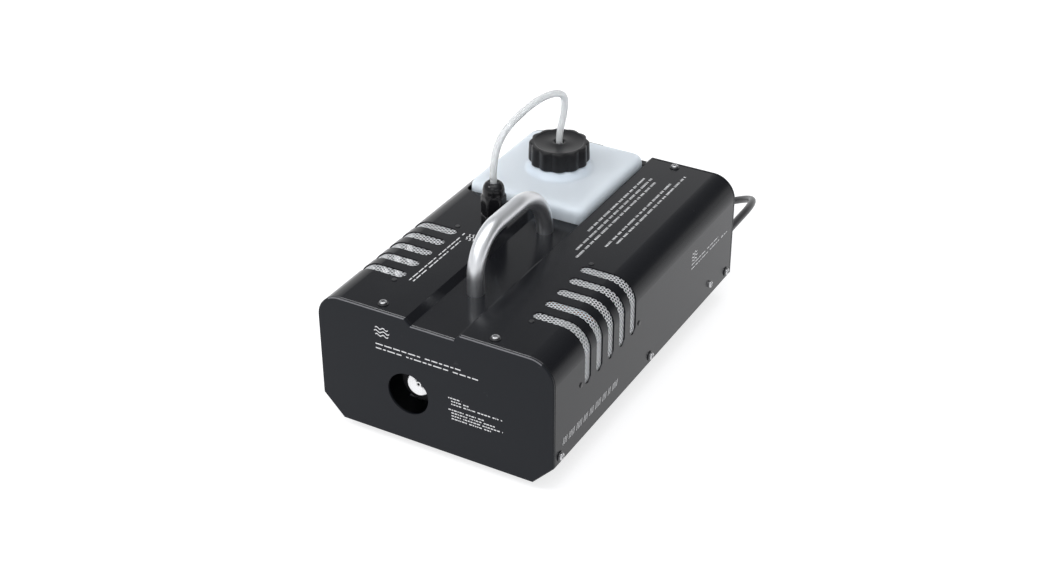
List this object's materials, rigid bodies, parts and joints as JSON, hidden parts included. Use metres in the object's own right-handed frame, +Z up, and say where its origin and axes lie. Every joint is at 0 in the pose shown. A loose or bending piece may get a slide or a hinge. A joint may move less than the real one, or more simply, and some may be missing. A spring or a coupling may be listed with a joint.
{
  "type": "fog machine",
  "caption": "Low black sheet-metal fog machine with a carry handle, a translucent tank in the top, a looped suction hose and a round fog outlet in front.",
  "frame": {"origin": "on the floor, under the centre of the housing with its rear fittings, cord left out", "axes": "+Z up, +Y from the fog outlet towards the rear plate, +X to the right seen from the outlet end"},
  "size_m": [0.2599, 0.5356, 0.2382],
  "materials": {
    "satin_black_metal": "satin",
    "gloss_black_metal": "semi-gloss",
    "bare_steel_mesh": "satin",
    "black_fasteners": "satin",
    "plated_screws": "bright",
    "black_rubber": "matte",
    "polished_aluminium": "polished",
    "zinc_sheet": "satin",
    "grey_felt": "matte",
    "clear_hose": "gloss",
    "sintered_bronze": "matte",
    "black_nylon": "gloss",
    "polished_steel": "polished",
    "dark_steel": "satin",
    "cast_aluminium": "rough",
    "mineral_wool": "matte",
    "ceramic_black": "matte",
    "brass_fitting": "satin",
    "white_nylon": "matte",
    "copper_pipe": "satin",
    "circuit_board": "satin",
    "board_components": "satin",
    "gloss_black_plastic": "gloss",
    "fuse_glass": "clear",
    "black_cord": "satin",
    "black_tie": "satin",
    "black_cord_plug": "matte",
    "brass_pins": "polished",
    "milky_polyethylene": "satin",
    "black_cap": "satin",
    "white_seal": "matte",
    "white_ink": "matte"
  },
  "bodies": {
    "housing": {"front_plate": "satin_black_metal", "rear_plate": "satin_black_metal", "base_tray": "satin_black_metal", "cover": "gloss_black_metal", "vent_meshes": "bare_steel_mesh", "mesh_rivets": "black_fasteners", "top_screws": "plated_screws", "side_screws": "plated_screws", "screw_washers": "black_fasteners", "feet": "black_rubber", "foot_screws": "plated_screws", "handle": "polished_aluminium", "handle_screws": "plated_screws", "tank_tray": "zinc_sheet", "tank_pads": "grey_felt", "suction_hose": "clear_hose", "gland_body": "black_nylon", "gland_nut": "black_nylon", "gland_seal": "black_rubber", "gland_locknut": "black_nylon", "inner_hose": "clear_hose", "nozzle": "polished_steel", "nozzle_nut": "plated_screws", "nozzle_guard": "dark_steel", "heater_block": "cast_aluminium", "heater_rods": "dark_steel", "heater_wool": "mineral_wool", "thermostat": "ceramic_black", "thermal_fuse": "ceramic_black", "heater_cradles": "zinc_sheet", "inlet_fitting": "brass_fitting", "pump_cylinder": "brass_fitting", "pump_coil": "white_nylon", "pump_yoke": "zinc_sheet", "pump_spring": "polished_steel", "pump_mounts": "black_rubber", "pressure_pipe": "copper_pipe", "control_board": "circuit_board", "board_parts": "board_components", "switch_body": "black_nylon", "fuse_holder": "black_nylon", "remote_socket": "plated_screws", "cord_gland": "black_nylon", "cord_boot": "black_rubber", "mains_cord": "black_cord", "cord_coil": "black_cord", "coil_tie": "black_tie", "plug_lead": "black_cord", "plug_body": "black_cord_plug", "plug_pins": "brass_pins"},
    "tank": {"tank": "milky_polyethylene", "dip_tube": "clear_hose", "hose_filter": "sintered_bronze"},
    "seal": {"cap_seal": "white_seal"},
    "cap": {"tank_cap": "black_cap"},
    "rocker": {"switch_rocker": "gloss_black_plastic"},
    "fuse_knob": {"fuse_cap": "black_nylon", "fuse_link": "fuse_glass"},
    "piston": {"pump_piston": "polished_steel"}
  },
  "joints": [
    {"name": "tank_lift", "type": "slide", "parent": "housing", "child": "tank", "axis": [0, 0, 1], "range_m": [0, 0.1], "deforming": ["suction_hose"]},
    {"name": "cap_rise", "type": "slide", "parent": "tank", "child": "seal", "axis": [0, 0, 1], "range_m": [0, 0.0061]},
    {"name": "cap_turn", "type": "hinge", "parent": "seal", "child": "cap", "pos_m": [-0.037, 0.1055, 0.16], "axis": [0, 0, 1], "range_deg": [0, 540]},
    {"name": "rocker_tilt", "type": "hinge", "parent": "housing", "child": "rocker", "pos_m": [0.072, 0.1795, 0.1], "axis": [1, 0, 0], "range_deg": [-20, 0]},
    {"name": "fuse_turn", "type": "hinge", "parent": "housing", "child": "fuse_knob", "pos_m": [0.048, 0.1835, 0.058], "axis": [0, 1, 0], "range_deg": [0, 90]},
    {"name": "piston_stroke", "type": "slide", "parent": "housing", "child": "piston", "axis": [0, 1, 0], "range_m": [-0.004, 0], "stiffness_N_per_m": 300, "springref_m": 0.001, "deforming": ["pump_spring"]}
  ],
  "couplings": [
    {"joint": "cap_rise", "follows": "cap_turn", "m_per_rad": 0.000637}
  ]
}
